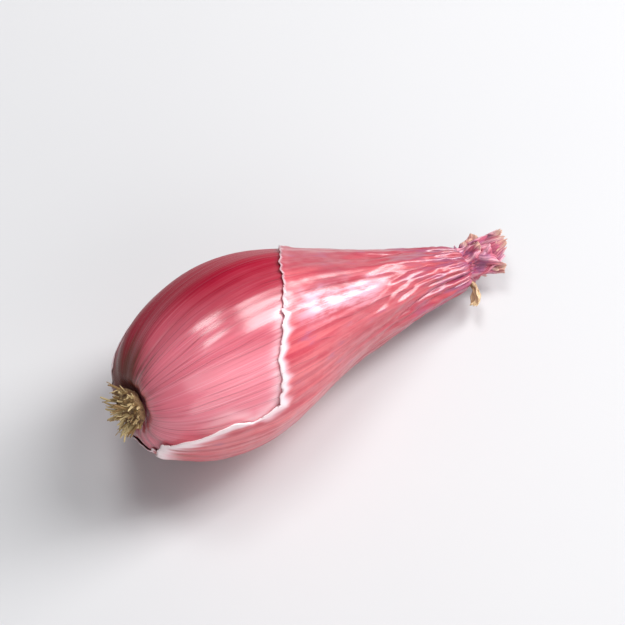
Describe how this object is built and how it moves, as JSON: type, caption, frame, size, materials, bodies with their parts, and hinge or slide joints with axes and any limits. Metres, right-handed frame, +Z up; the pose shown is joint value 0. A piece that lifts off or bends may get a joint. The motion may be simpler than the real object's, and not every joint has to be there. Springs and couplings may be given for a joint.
{
  "type": "red onion",
  "caption": "Small elongated red onion lying on its side, with a torn papery outer skin, a tuft of dry roots and dry leaf ends at the neck.",
  "frame": {"origin": "on the surface that the onion lies on, under the middle of its footprint", "axes": "+X along the onion from the root end to the neck, +Y to the back, +Z up"},
  "size_m": [0.0762, 0.0298, 0.0305],
  "materials": {
    "onion_skin": "glossy crimson inner skin under a torn, duller salmon-pink outer skin",
    "dry_root": "matte",
    "dry_leaf": "matte"
  },
  "bodies": {
    "root": {"bulb": "onion_skin", "root_tuft": "dry_root", "leaf_tips": "dry_leaf"}
  },
  "joints": []
}
